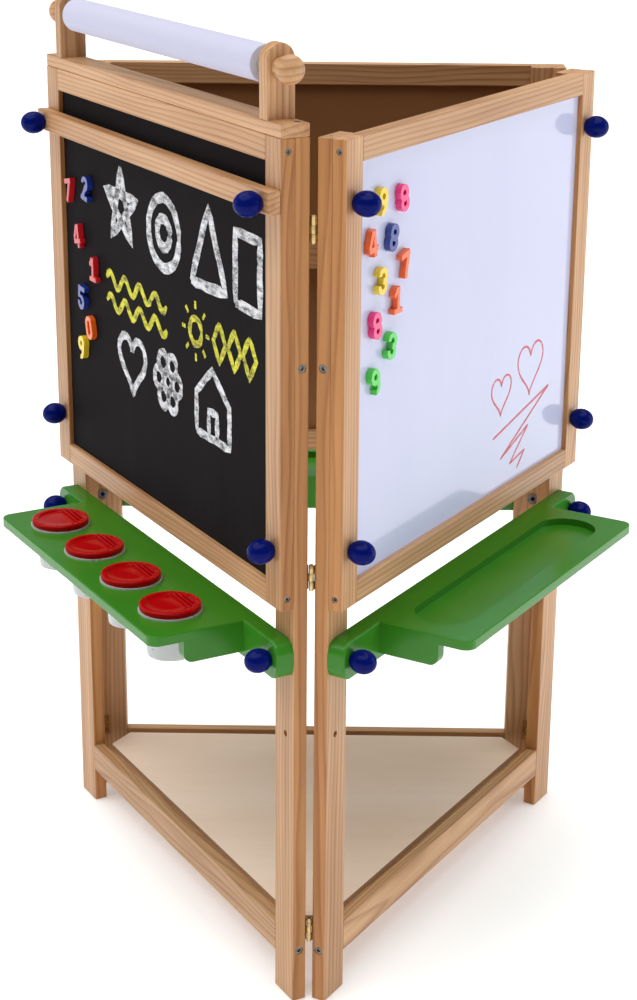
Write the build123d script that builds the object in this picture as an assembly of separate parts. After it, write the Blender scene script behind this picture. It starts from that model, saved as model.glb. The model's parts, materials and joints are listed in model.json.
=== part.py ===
from build123d import *
import os
from math import sqrt

# Three-sided children's art easel: three wooden panels stand as a closed triangle,
# hinged at the corners, each with a board above and a moulded tray below, and a
# plywood shelf between them. One panel also carries a paper roll holder.
# Units are millimetres, +Z is up, and the origin is at the middle of the footprint,
# on the floor. The front corner points towards -Y.
#
# Each panel is modelled in its own frame first: u runs along the panel from its
# start corner (local +X), w is measured outwards from the legs' inner faces
# (local -Y), and z is height.

# panels
panel_width = 650.0
panel_height = 1060.0
corner_gap = 7.6
edge_radius = 1.5
leg_width = 46.0
leg_thickness = 18.0
stile_width = 36.0
frame_thickness = 18.0
frame_height = 540.0
rail_height = 28.0
board_thickness = 4.0
board_recess = 6.5
board_tongue = 6.0
board_edge_clearance = 1.0
brace_rise = 265.0
brace_height = 40.0
brace_thickness = 15.0
lower_rail_bottom = 49.0
lower_rail_height = 40.0
lower_rail_thickness = 15.0

# shelf and the ledges that it lies on
shelf_thickness = 8.0
shelf_drop = 2.0
shelf_clearance = 1.5
shelf_corner_cut = 45.0
shelf_corner_radius = 3.0
ledge_depth = 12.0
ledge_height = 18.0

# knobs with their studs, and the tee nuts that they screw into
knob_inset = 20.0
knob_radius = 14.5
knob_length = 34.0
knob_seat_cut = 3.0
stud_radius = 3.0
nut_barrel_radius = 4.5
nut_barrel_length = 8.0
nut_flange_radius = 8.0
nut_flange_thickness = 1.2
frame_knob_inset = 70.0

# screws through the edges of the panels
frame_screw_head_radius = 4.0
frame_screw_radius = 2.2
frame_screw_length = 60.0
leg_screw_head_radius = 5.5
leg_screw_radius = 2.5
leg_screw_length = 75.0
screw_head_height = 3.0
screw_sink = 1.0
hex_depth = 2.0
hex_share_of_head = 0.5

# moulded trays
tray_drop = 40.0
tray_inset = 85.0
tray_reach = 142.0
tray_skirt = 12.0
tray_wall = 3.0
tray_corner_radius = 14.0
tray_rim_radius = 1.8
tray_pan_wall = 2.4
flange_height = 48.0
flange_thickness = 22.0
flange_end_radius = 18.0
gusset_thickness = 14.0
gusset_height = 40.0
gusset_reach = 100.0
gusset_corner_radius = 12.0
recess_length = 420.0
recess_width = 78.0
recess_depth = 9.0
recess_setback = 28.0
spare_hole_drop = 101.0
spare_hole_radius = 4.0

# paint cups and their lids
cup_count = 4
cup_pitch = 113.0
cup_setback = 23.0
cup_hole_clearance = 1.0
cup_rim_overlap = 3.5
cup_rim_thickness = 2.0
cup_top_radius = 34.5
cup_bottom_radius = 29.0
cup_depth = 55.0
cup_wall = 1.6
lid_height = 9.0
lid_plug_depth = 1.6
lid_plug_clearance = 1.0
lid_rim_width = 9.0
lid_rim_fillet = 1.5
lid_dish_depth = 2.0
lid_rib_width = 2.0
lid_rib_count = 3
lid_rib_length = 42.0
lid_rib_setback = 13.5

# hinges
hinge_height = 29.0
hinge_top_inset = 100.0
hinge_middle_rise = 36.0
hinge_bottom = 96.0
leaf_width = 20.0
leaf_thickness = 1.5
leaf_lap = 1.0
knuckle_radius = 3.0
knuckle_clearance = 0.3
pin_radius = 1.5
pin_clearance = 0.05
cradle_clearance = 0.5
pin_head_radius = 2.6
pin_head_height = 1.2
leaf_screw_head_radius = 3.0
leaf_screw_radius = 1.4
leaf_screw_length = 12.0
leaf_screw_spacing = 16.0

# paper roll holder and paper guard bar
base_thickness = 15.0
base_inset = 0.5
bracket_inset = 33.0
bracket_thickness = 18.0
bracket_height = 81.0
dowel_radius = 9.5
dowel_height = 55.0
dowel_clearance = 0.1
ball_radius = 16.0
ball_offset = 20.0
collar_radius = 12.0
collar_gap = 0.5
core_wall = 2.4
core_clearance = 0.1
core_gap = 8.0
paper_winding = 9.0
paper_gap = 15.0
guard_height = 26.0
guard_thickness = 15.0
guard_knob_offset = 2.0
base_screw_inset = 13.0
base_screw_length = 45.0
top_hole_radius = 2.5
top_hole_depth = 25.0

# number magnets
digit_height = 32.0
digit_width = 20.0
digit_stroke = 6.5
digit_thickness = 8.0
digit_slash_tilt = 28.0
digit_flag_tilt = 40.0

# sizes that follow from the ones above
panel_thickness = leg_thickness + frame_thickness
frame_bottom = panel_height - frame_height
brace_bottom = frame_bottom + brace_rise
tray_top = frame_bottom - tray_drop
board_face = panel_thickness - board_recess
board_back = board_face - board_thickness
pin_out = corner_gap / 4
pin_in = corner_gap * sqrt(3) / 4
pin_pitch = panel_width + 2 * pin_out
lower_rail_top = lower_rail_bottom + lower_rail_height
shelf_top = lower_rail_top - shelf_drop
ledge_top = shelf_top - shelf_thickness
tray_front = leg_thickness + tray_reach
tray_knob_height = tray_top - flange_height / 2
frame_knob_heights = (panel_height - frame_knob_inset, frame_bottom + frame_knob_inset)
spare_hole_height = tray_knob_height - spare_hole_drop
base_top = panel_height + base_thickness
dowel_level = base_top + dowel_height
core_radius = dowel_radius + core_clearance + core_wall
paper_radius = core_radius + paper_winding
cup_hole_radius = cup_top_radius + cup_hole_clearance
cup_rim_radius = cup_hole_radius + cup_rim_overlap
lid_dish_radius = cup_rim_radius - lid_rim_width
hinge_levels = (panel_height - hinge_top_inset, frame_bottom + hinge_middle_rise, hinge_bottom)
guard_bottom = frame_knob_heights[0] + guard_knob_offset - guard_height / 2

PANELS = {
    "white": {"angle": 60, "corners": ("front", "right")},
    "rear": {"angle": 180, "corners": ("right", "left")},
    "chalk": {"angle": 300, "corners": ("left", "front")},
}
PIN_OWNER = {"front": "white", "right": "white", "left": "rear"}


# ---- basic shapes in a panel's own frame ----

def block(u0, u1, w0, w1, z0, z1, radius=0.0):
    """A box between two values of u, w and z, with its edges eased."""
    centre = Pos((u0 + u1) / 2, -(w0 + w1) / 2, (z0 + z1) / 2)
    shape = centre * Box(u1 - u0, w1 - w0, z1 - z0)
    if radius:
        shape = fillet(shape.edges(), radius)
    return shape


def rod_w(u, z, w0, w1, radius):
    """A cylinder across the panel, from w0 out to w1."""
    return Pos(u, -(w0 + w1) / 2, z) * Rot(90, 0, 0) * Cylinder(radius, w1 - w0)


def rod_u(u0, u1, w, z, radius):
    """A cylinder along the panel, from u0 to u1."""
    return Pos((u0 + u1) / 2, -w, z) * Rot(0, 90, 0) * Cylinder(radius, u1 - u0)


def rod_z(u, w, z0, z1, radius):
    """An upright cylinder from z0 to z1."""
    return Pos(u, -w, (z0 + z1) / 2) * Cylinder(radius, z1 - z0)


def mirrored(shape):
    """The same shape at the other end of the panel."""
    return shape.mirror(Plane.YZ.offset(panel_width / 2))


def joined(shapes):
    """Separate solids kept as one group."""
    return Compound([solid for shape in shapes for solid in shape.solids()])


# ---- fasteners ----

def edge_screw(w, z, head_radius, radius, length):
    """A socket-head screw sunk in the panel's start edge, pointing along +u."""
    head = rod_u(screw_sink, screw_sink + screw_head_height, w, z, head_radius)
    shank = rod_u(screw_sink, length, w, z, radius)
    socket = Pos(screw_sink, -w, z) * Rot(0, 90, 0) * extrude(
        RegularPolygon(head_radius * hex_share_of_head, 6), hex_depth)
    return head + shank - socket


def screw_hole(w, z, head_radius, radius, length):
    """The counterbored hole that an edge screw sits in."""
    return rod_u(0, screw_sink + screw_head_height, w, z, head_radius) + rod_u(0, length, w, z, radius)


def edge_screw_sites():
    """w, z, head radius, shank radius and length of each screw in one edge."""
    frame_w = leg_thickness + frame_thickness / 2
    leg_w = leg_thickness / 2
    frame_sizes = (frame_screw_head_radius, frame_screw_radius, frame_screw_length)
    leg_sizes = (leg_screw_head_radius, leg_screw_radius, leg_screw_length)
    return [
        (frame_w, panel_height - rail_height / 2, *frame_sizes),
        (frame_w, frame_bottom + rail_height / 2, *frame_sizes),
        (leg_w, brace_bottom + brace_height / 2, *leg_sizes),
        (leg_w, lower_rail_bottom + lower_rail_height / 2, *leg_sizes),
    ]


def edge_screws():
    start = [edge_screw(*site) for site in edge_screw_sites()]
    return start + [mirrored(screw) for screw in start]


def edge_holes():
    start = [screw_hole(*site) for site in edge_screw_sites()]
    return start + [mirrored(hole) for hole in start]


def knob_sites(panel):
    """u, z and seat height above the leg's inner face of each knob."""
    upper, lower = frame_knob_heights
    upper_seat = panel_thickness + (guard_thickness if panel == "chalk" else 0)
    tray_seat = leg_thickness + flange_thickness
    sites = []
    for u in (knob_inset, panel_width - knob_inset):
        sites.append((u, upper, upper_seat))
        sites.append((u, lower, panel_thickness))
        sites.append((u, tray_knob_height, tray_seat))
    return sites


def knob(u, z, seat):
    """A ball-like head on a threaded stud that reaches the leg's inner face."""
    profile = Ellipse(knob_radius, knob_length / 2)
    keep_right = Pos(knob_radius, 0) * Rectangle(2 * knob_radius, 2 * knob_length)
    cut_seat = Pos(0, -knob_length / 2) * Rectangle(4 * knob_radius, 2 * knob_seat_cut)
    head = revolve(Plane.XZ * ((profile & keep_right) - cut_seat), Axis.Z)
    placed = Pos(u, -(seat + knob_length / 2 - knob_seat_cut), z) * Rot(90, 0, 0) * head
    return placed + rod_w(u, z, 0, seat + knob_length / 2, stud_radius)


def tee_nut(u, z):
    """A flanged nut let into the leg from inside."""
    barrel = rod_w(u, z, 0, nut_barrel_length, nut_barrel_radius)
    flange = rod_w(u, z, -nut_flange_thickness, 0, nut_flange_radius)
    return barrel + flange - rod_w(u, z, -nut_flange_thickness, nut_barrel_length, stud_radius)


def knob_hole(u, z):
    """Clearance for one tee nut barrel and stud, right through the panel."""
    barrel = rod_w(u, z, 0, nut_barrel_length, nut_barrel_radius)
    return barrel + rod_w(u, z, 0, tray_front, stud_radius)


# ---- wooden panel ----

def leg_at_start(panel):
    leg = block(0, leg_width, 0, leg_thickness, 0, panel_height, edge_radius)
    leg -= rod_w(knob_inset, spare_hole_height, 0, leg_thickness, spare_hole_radius)
    if panel == "chalk":
        leg -= rod_z(base_screw_inset, leg_thickness / 2, panel_height - base_screw_length,
                     panel_height, leg_screw_radius)
    else:
        leg -= rod_z(base_screw_inset, leg_thickness / 2, panel_height - top_hole_depth,
                     panel_height, top_hole_radius)
    return leg


def board_slot():
    """The space of the board and the grooves that hold it."""
    tongue = board_tongue + board_edge_clearance
    return block(stile_width - tongue, panel_width - stile_width + tongue, board_back, board_face,
                 frame_bottom + rail_height - tongue, panel_height - rail_height + tongue)


def board():
    edge = stile_width - board_tongue
    return block(edge, panel_width - edge, board_back, board_face,
                 frame_bottom + rail_height - board_tongue, panel_height - rail_height + board_tongue)


def stile_at_start():
    stile = block(0, stile_width, leg_thickness, panel_thickness, frame_bottom, panel_height, edge_radius)
    return stile - board_slot()


def frame_rail(z0):
    rail = block(stile_width, panel_width - stile_width, leg_thickness, panel_thickness,
                 z0, z0 + rail_height, edge_radius)
    return rail - board_slot()


def brace():
    inner = (leg_thickness - brace_thickness) / 2
    return block(leg_width, panel_width - leg_width, inner, inner + brace_thickness,
                 brace_bottom, brace_bottom + brace_height, edge_radius)


def lower_rail():
    """The rail between the legs, with the ledge that carries the shelf."""
    inner = leg_thickness - lower_rail_thickness
    rail = block(leg_width, panel_width - leg_width, inner, leg_thickness,
                 lower_rail_bottom, lower_rail_top, edge_radius)
    ledge = block(leg_width, panel_width - leg_width, inner - ledge_depth, inner + edge_radius,
                  ledge_top - ledge_height, ledge_top)
    return rail + ledge


def wooden_panel(panel):
    """The nine wooden pieces of a panel, with every hole that goes through them."""
    start, end = PANELS[panel]["corners"]
    leg = leg_at_start(panel)
    stile = stile_at_start()
    pieces = {
        f"{panel}_{start}_leg": leg,
        f"{panel}_{end}_leg": mirrored(leg),
        f"{panel}_{start}_stile": stile,
        f"{panel}_{end}_stile": mirrored(stile),
        f"{panel}_top_rail": frame_rail(panel_height - rail_height),
        f"{panel}_bottom_rail": frame_rail(frame_bottom),
        f"{panel}_board": board(),
        f"{panel}_brace": brace(),
        f"{panel}_lower_rail": lower_rail(),
    }
    holes = edge_holes() + [knob_hole(u, z) for u, z, seat in knob_sites(panel)]
    holes += leaf_screws(panel)
    for name in pieces:
        if not name.endswith("board"):
            pieces[name] = pieces[name] - holes
    return pieces


# ---- trays ----

def tray_plate(u0, u1, w1, z0, z1, radius):
    """A plate from the legs out to w1, with its two front corners rounded."""
    plate = block(u0, u1, leg_thickness, w1, z0, z1)
    corners = plate.edges().filter_by(Axis.Z).sort_by(Axis.Y)[:2]
    return fillet(corners, radius)


def tray_flange():
    flange = block(0, panel_width, leg_thickness, leg_thickness + flange_thickness,
                   tray_top - flange_height, tray_top)
    flange = fillet(flange.edges().filter_by(Axis.Y), flange_end_radius)
    front = flange.faces().sort_by(Axis.Y)[0]
    return fillet(front.edges(), tray_wall)


def gusset():
    """The bracket plate under the tray's start end."""
    plate = block(tray_inset, tray_inset + gusset_thickness, leg_thickness,
                  leg_thickness + gusset_reach, tray_top - gusset_height, tray_top - tray_wall / 2)
    nose = plate.edges().filter_by(Axis.X).group_by(Axis.Z)[0].sort_by(Axis.Y)[0]
    return fillet(nose, gusset_corner_radius)


def recess(grow, z0, z1):
    """A long round-ended hollow in the tray, grown by a wall."""
    middle = tray_front - recess_setback - recess_width / 2
    outline = SlotOverall(recess_length + 2 * grow, recess_width + 2 * grow)
    return Pos(panel_width / 2, -middle, z0) * extrude(outline, z1 - z0)


def cup_places():
    """u and w of each paint cup."""
    first = panel_width / 2 - cup_pitch * (cup_count - 1) / 2
    w = tray_front - cup_setback - cup_hole_radius
    return [(first + cup_pitch * index, w) for index in range(cup_count)]


def tray(panel):
    """A hollow moulding: a skirted plate, a flange across both legs and two gussets."""
    far = panel_width - tray_inset
    plate = tray_plate(tray_inset, far, tray_front, tray_top - tray_skirt, tray_top, tray_corner_radius)
    top_edges = plate.faces().sort_by(Axis.Z)[-1].edges()
    rim = [edge for edge in top_edges if edge.center().Y < -leg_thickness - tray_wall]
    plate = fillet(rim, tray_rim_radius)
    hollow = tray_plate(tray_inset + tray_wall, far - tray_wall, tray_front - tray_wall,
                        tray_top - tray_skirt, tray_top - tray_wall, tray_corner_radius - tray_wall)
    shell = plate - hollow + tray_flange() + gusset() + mirrored(gusset())
    if panel == "chalk":
        for u, w in cup_places():
            shell -= rod_z(u, w, tray_top - tray_wall, tray_top, cup_hole_radius)
        return shell
    pan = recess(tray_pan_wall, tray_top - recess_depth - tray_pan_wall, tray_top)
    hollow_top = recess(0, tray_top - recess_depth, tray_top)
    return shell + pan - hollow_top


# ---- paint cups ----

def cup(u, w):
    """A tapered cup that hangs in the tray by its rim."""
    rim_top = tray_top + cup_rim_thickness
    body = Pos(u, -w, tray_top - cup_depth / 2) * Cone(cup_bottom_radius, cup_top_radius, cup_depth)
    rim = rod_z(u, w, tray_top, rim_top, cup_rim_radius)
    inside_depth = cup_depth - cup_wall
    inside = Pos(u, -w, tray_top - inside_depth / 2) * Cone(
        cup_bottom_radius - cup_wall, cup_top_radius - cup_wall, inside_depth)
    mouth = rod_z(u, w, tray_top, rim_top, cup_top_radius - cup_wall)
    return body + rim - inside - mouth


def lid(u, w):
    """A flat lid with a dished top, finger ribs on one side and a plug below."""
    bottom = tray_top + cup_rim_thickness
    top = bottom + lid_height
    disc = rod_z(u, w, bottom, top, cup_rim_radius)
    disc = fillet(disc.edges().group_by(Axis.Z)[-1], lid_rim_fillet)
    dish = rod_z(u, w, top - lid_dish_depth, top, lid_dish_radius)
    ribs_from = w - lid_rib_setback
    dish -= block(u - lid_dish_radius, u + lid_dish_radius, w - lid_dish_radius, ribs_from,
                  top - lid_dish_depth, top)
    lid_solid = disc - dish
    for index in range(lid_rib_count):
        groove_w = ribs_from - lid_rib_width * (2 * index + 1.5)
        lid_solid -= block(u - lid_rib_length / 2, u + lid_rib_length / 2, groove_w - lid_rib_width,
                           groove_w, top - lid_dish_depth / 2, top)
    plug_radius = cup_top_radius - cup_wall - lid_plug_clearance
    plug = rod_z(u, w, bottom - lid_plug_depth, bottom, plug_radius)
    plug -= rod_z(u, w, bottom - lid_plug_depth, bottom - lid_plug_depth / 4, plug_radius - cup_wall)
    return lid_solid + plug


# ---- hinges ----

def knuckle_span(segment):
    """Lower and upper ends of one of the three knuckles, from the hinge's middle."""
    third = hinge_height / 3
    low = -hinge_height / 2 + third * segment
    return low + knuckle_clearance / 2, low + third - knuckle_clearance / 2


def leaf_screw_offsets():
    return (-leaf_screw_spacing / 2, leaf_screw_spacing / 2)


def leaf_screw(z):
    """A countersunk screw through a leaf at the panel's start, into the leg."""
    u = (knuckle_radius + leaf_width) / 2
    head = rod_w(u, z, -leaf_thickness, 0, leaf_screw_head_radius)
    return head + rod_w(u, z, 0, leaf_screw_length, leaf_screw_radius)


def hinge_leaf(level, segments, bore_radius, cradle):
    """One leaf at the panel's start, with knuckles round the pin line.

    A cradle is a knuckle cut open on the side that the pin leaves by.
    """
    low, high = level - hinge_height / 2, level + hinge_height / 2
    plate = block(knuckle_radius + 2 * knuckle_clearance - pin_out, leaf_width, -leaf_thickness, 0, low, high)
    for segment in segments:
        z0, z1 = (level + end for end in knuckle_span(segment))
        if cradle:
            ring = rod_z(-pin_out, -pin_in, z0, z1, knuckle_radius)
            ring &= Pos(-pin_out, pin_in, 0) * Rot(0, 0, -30) * Pos(
                knuckle_radius, -knuckle_radius, level) * Box(
                2 * knuckle_radius, 2 * knuckle_radius, hinge_height)
        else:
            ring = rod_z(-pin_out, -pin_in, z0, z1, knuckle_radius)
        plate += ring + block(-pin_out, knuckle_radius + leaf_lap, -leaf_thickness, 0, z0, z1)
        plate -= rod_z(-pin_out, -pin_in, z0, z1, bore_radius)
    for offset in leaf_screw_offsets():
        plate -= leaf_screw(level + offset)
    return plate


def leaf_screws(panel):
    """Every leaf screw of a panel, at both ends."""
    start = [leaf_screw(level + offset) for level in hinge_levels for offset in leaf_screw_offsets()]
    return start + [mirrored(screw) for screw in start]


def hinge_leaves(panel):
    """The six leaves of a panel, three at each end, with their screws."""
    start, end = PANELS[panel]["corners"]
    leaves = []
    for level in hinge_levels:
        for corner, at_start in ((start, True), (end, False)):
            owner = PIN_OWNER[corner] == panel
            open_pivot = corner == "left" and not owner
            segments = (0, 2) if owner else (1,)
            bore = pin_radius if owner else pin_radius + pin_clearance
            if open_pivot:
                bore = pin_radius + cradle_clearance
            leaf = hinge_leaf(level, segments, bore, open_pivot)
            leaves.append(leaf if at_start else mirrored(leaf))
    return joined(leaves + leaf_screws(panel))


def hinge_pin(level):
    """A pin at the panel's start corner with a flat head at each end."""
    low, high = level - hinge_height / 2, level + hinge_height / 2
    pin = rod_z(-pin_out, -pin_in, low - pin_head_height, high + pin_head_height, pin_radius)
    for z in (low - pin_head_height, high):
        pin += rod_z(-pin_out, -pin_in, z, z + pin_head_height, pin_head_radius)
    return pin


def hinge_pins(panel):
    """The pins that stay with this panel's leaves."""
    start, end = PANELS[panel]["corners"]
    pins = []
    for level in hinge_levels:
        if PIN_OWNER[start] == panel:
            pins.append(hinge_pin(level))
        if PIN_OWNER[end] == panel:
            pins.append(mirrored(hinge_pin(level)))
    return joined(pins)


# ---- paper roll holder ----

def roll_base():
    base = block(0, panel_width, base_inset, panel_thickness - base_inset, panel_height, base_top, edge_radius)
    for u in (base_screw_inset, panel_width - base_screw_inset):
        base -= rod_z(u, leg_thickness / 2, panel_height, base_top, leg_screw_radius)
        base -= rod_z(u, leg_thickness / 2, base_top - screw_head_height - screw_sink, base_top,
                      frame_screw_head_radius)
    return base


def base_screws():
    """Screws down through the roll base into the legs, and up into the brackets."""
    screws = []
    for u in (base_screw_inset, panel_width - base_screw_inset):
        head_top = base_top - screw_sink
        head = rod_z(u, leg_thickness / 2, head_top - screw_head_height, head_top, frame_screw_head_radius)
        shank = rod_z(u, leg_thickness / 2, panel_height - base_screw_length, head_top, leg_screw_radius)
        screws.append(head + shank)
    return screws


def bracket_at_start():
    """An upright with a round top and a bore for the dowel."""
    half = panel_thickness / 2 - base_inset
    arc_level = base_top + bracket_height - half
    post = block(bracket_inset, bracket_inset + bracket_thickness, base_inset,
                 panel_thickness - base_inset, base_top, arc_level)
    crown = rod_u(bracket_inset, bracket_inset + bracket_thickness, panel_thickness / 2, arc_level, half)
    shape = post + crown
    sides = shape.faces().filter_by(Axis.X)
    upper = [edge for edge in sides.edges() if edge.center().Z > base_top + edge_radius]
    shape = fillet(upper, edge_radius)
    return shape - rod_u(0, panel_width / 2, panel_thickness / 2, dowel_level, dowel_radius + dowel_clearance)


def dowel():
    end = bracket_inset - ball_offset
    return rod_u(end, panel_width - end, panel_thickness / 2, dowel_level, dowel_radius)


def dowel_knob_at_start():
    """A wooden ball with a collar, pushed on the dowel's end."""
    ball_u = bracket_inset - ball_offset
    ball = Pos(ball_u, -panel_thickness / 2, dowel_level) * Sphere(ball_radius)
    collar = rod_u(ball_u + ball_radius / 2, bracket_inset - collar_gap, panel_thickness / 2, dowel_level,
                   collar_radius)
    return ball + collar - rod_u(ball_u, bracket_inset, panel_thickness / 2, dowel_level, dowel_radius)


def roll_core():
    start = bracket_inset + bracket_thickness + core_gap
    tube = rod_u(start, panel_width - start, panel_thickness / 2, dowel_level, core_radius)
    bore = rod_u(start, panel_width - start, panel_thickness / 2, dowel_level, dowel_radius + core_clearance)
    return tube - bore


def paper_roll():
    start = bracket_inset + bracket_thickness + paper_gap
    roll = rod_u(start, panel_width - start, panel_thickness / 2, dowel_level, paper_radius)
    return roll - rod_u(start, panel_width - start, panel_thickness / 2, dowel_level, core_radius)


def guard_bar():
    """The bar across the front that the paper runs behind."""
    bar = block(0, panel_width, panel_thickness, panel_thickness + guard_thickness,
                guard_bottom, guard_bottom + guard_height, edge_radius)
    for u, z, seat in knob_sites("chalk"):
        bar -= knob_hole(u, z)
    return bar


# ---- shelf ----

def shelf():
    """A triangle with cut corners, just clear of the three panels' inner faces."""
    apothem = pin_pitch / (2 * sqrt(3)) - pin_in - shelf_clearance
    side = apothem * 2 * sqrt(3)
    outline = RegularPolygon(side / sqrt(3), 3, rotation=30)
    for angle in (30, 150, 270):
        corner = Rot(0, 0, angle) * Pos(side / sqrt(3), 0)
        cut = shelf_corner_cut * sqrt(3) / 2
        outline -= corner * Rectangle(2 * cut, side)
    plate = Pos(0, 0, ledge_top) * extrude(outline, shelf_thickness)
    return fillet(plate.edges().filter_by(Axis.Z), shelf_corner_radius)


# ---- number magnets ----

def ring(width, height):
    """A closed round loop of the digit's stroke."""
    outer = SlotOverall(height, width, rotation=90) if height > width else Circle(width / 2)
    inner_width, inner_height = width - 2 * digit_stroke, height - 2 * digit_stroke
    if height > width:
        return outer - SlotOverall(inner_height, inner_width, rotation=90)
    return outer - Circle(inner_width / 2)


def digit_outline(digit):
    """The outline of one digit, centred on its own middle."""
    half_w, half_h, stroke = digit_width / 2, digit_height / 2, digit_stroke
    bowl = ring(digit_width, digit_width)
    upper = Pos(0, half_h - half_w) * bowl
    lower = Pos(0, half_w - half_h) * bowl
    left_cut = Pos(-half_w, 0) * Rectangle(digit_width, digit_height)
    top_bar = Pos(0, half_h - stroke / 2) * Rectangle(digit_width, stroke)
    foot_bar = Pos(0, stroke / 2 - half_h) * Rectangle(digit_width, stroke)
    slash = Rot(0, 0, -digit_slash_tilt) * Rectangle(stroke, digit_height)
    inside = Rectangle(digit_width, digit_height)
    if digit == 0:
        return ring(digit_width, digit_height)
    if digit == 1:
        flag = Pos(-stroke * 0.8, half_h - stroke) * Rot(0, 0, -digit_flag_tilt) * Rectangle(stroke, stroke * 2)
        return Rectangle(stroke, digit_height) + foot_bar + (flag & inside)
    if digit == 2:
        hook = upper - Pos(-half_w, half_h - digit_width) * Rectangle(digit_width, digit_width)
        return hook + foot_bar + (Pos(0, -stroke / 2) * slash & inside - Pos(0, half_h) * Rectangle(
            digit_width, digit_width))
    if digit == 3:
        gap = Rectangle(digit_width, digit_width * 0.5)
        return (upper - Pos(-half_w, 0) * gap) + (lower - Pos(-half_w, 0) * gap)
    if digit == 4:
        arm = Pos(0, -stroke) * Rectangle(digit_width, stroke)
        post = Pos(half_w - stroke, 0) * Rectangle(stroke, digit_height)
        return arm + post + (Pos(-stroke / 2, stroke) * slash & inside - Pos(0, -half_h) * Rectangle(
            digit_width, digit_height * 0.5))
    if digit == 5:
        post = Pos(-half_w + stroke / 2, half_h / 2) * Rectangle(stroke, half_h)
        bowl_left = Pos(-half_w, half_w - half_h + stroke / 2) * Rectangle(digit_width, stroke * 0.6)
        return (lower - bowl_left) + post + top_bar
    if digit == 7:
        return top_bar + (slash & inside)
    if digit == 8:
        return upper + lower
    tail = Pos(half_w - stroke / 2, 0) * Rectangle(stroke, digit_height - digit_width)
    nine = upper + tail + (lower - Pos(0, half_h / 2) * Rectangle(digit_width, half_h * 1.2) - left_cut)
    return nine if digit == 9 else Rot(0, 0, 180) * nine


def magnet(digit, u, drop, tilt):
    """A digit lying flat on the board's face, turned by tilt degrees."""
    solid = extrude(digit_outline(digit), digit_thickness)
    return Pos(u, -board_face, panel_height - drop) * Rot(90, 0, 0) * Rot(0, 0, tilt) * solid


# digit, distance from the panel's start corner, drop below its top, and tilt
CHALK_MAGNETS = [(7, 63, 155, 12), (2, 117, 143, -8), (4, 87, 211, 10), (1, 136, 246, 0),
                 (5, 96, 292, -6), (0, 118, 328, 14), (9, 90, 361, -10)]
WHITE_MAGNETS = [(9, 80, 79, -14), (8, 130, 83, 10), (4, 60, 123, 8), (8, 107, 124, -12),
                 (7, 139, 161, 16), (3, 83, 169, -6), (1, 120, 198, 0), (8, 72, 218, 8),
                 (3, 107, 249, -10), (9, 70, 283, 6)]


def magnets(places):
    """A group of digits on one board."""
    return joined([magnet(*place) for place in places])


# ---- the whole easel ----

def panel_nodes(panel):
    nodes = wooden_panel(panel)
    nodes[f"{panel}_tray"] = tray(panel) - [knob_hole(u, z) for u, z, seat in knob_sites(panel)]
    nodes[f"{panel}_knobs"] = joined([knob(*site) for site in knob_sites(panel)])
    fasteners = edge_screws() + [tee_nut(u, z) for u, z, seat in knob_sites(panel)]
    if panel == "chalk":
        fasteners += base_screws()
    nodes[f"{panel}_fasteners"] = joined(fasteners)
    nodes[f"{panel}_hinge_leaves"] = hinge_leaves(panel)
    return nodes


def chalk_panel_extras():
    nodes = {
        "paper_guard_bar": guard_bar(),
        "roll_base": roll_base(),
        "roll_bracket_left": bracket_at_start(),
        "roll_bracket_front": mirrored(bracket_at_start()),
        "roll_dowel": dowel(),
        "roll_dowel_knobs": joined([dowel_knob_at_start(), mirrored(dowel_knob_at_start())]),
        "roll_core": roll_core(),
        "paper_roll": paper_roll(),
        "chalk_magnets": magnets(CHALK_MAGNETS),
    }
    for index, (u, w) in enumerate(cup_places(), start=1):
        nodes[f"paint_cup_{index}"] = cup(u, w)
        nodes[f"paint_lid_{index}"] = lid(u, w)
    return nodes


def panel_location(panel):
    """Where a panel's own frame stands, with the pins on an equilateral triangle."""
    reach = pin_pitch / sqrt(3)
    start_pin = Rot(0, 0, PANELS[panel]["angle"] - 60) * Pos(0, -reach, 0)
    return Pos(start_pin.position) * Rot(0, 0, PANELS[panel]["angle"]) * Pos(pin_out, -pin_in, 0)


def easel():
    """Every node in the triangle's frame, before the origin is set."""
    nodes = {}
    for panel in PANELS:
        local = panel_nodes(panel)
        if panel == "chalk":
            local.update(chalk_panel_extras())
        if panel == "white":
            local["white_magnets"] = magnets(WHITE_MAGNETS)
        if panel in PIN_OWNER.values():
            local[f"{panel}_hinge_pins"] = hinge_pins(panel)
        for name, shape in local.items():
            nodes[name] = panel_location(panel) * shape
    nodes["shelf"] = shelf()
    return nodes


def origin_shift(nodes):
    """Moves the middle of the footprint to the origin."""
    boxes = [shape.bounding_box() for shape in nodes.values()]
    middle_x = (min(box.min.X for box in boxes) + max(box.max.X for box in boxes)) / 2
    middle_y = (min(box.min.Y for box in boxes) + max(box.max.Y for box in boxes)) / 2
    return Pos(-middle_x, -middle_y, 0)


def main():
    os.makedirs("parts", exist_ok=True)
    nodes = easel()
    shift = origin_shift(nodes)
    print("origin shift", shift.position)
    for name, shape in nodes.items():
        export_step(shift * shape, f"parts/{name}.step")


main()
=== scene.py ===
import json
import random
from math import cos, pi, radians, sin, tau

import bmesh
import bpy
from mathutils import Matrix, Vector


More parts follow.
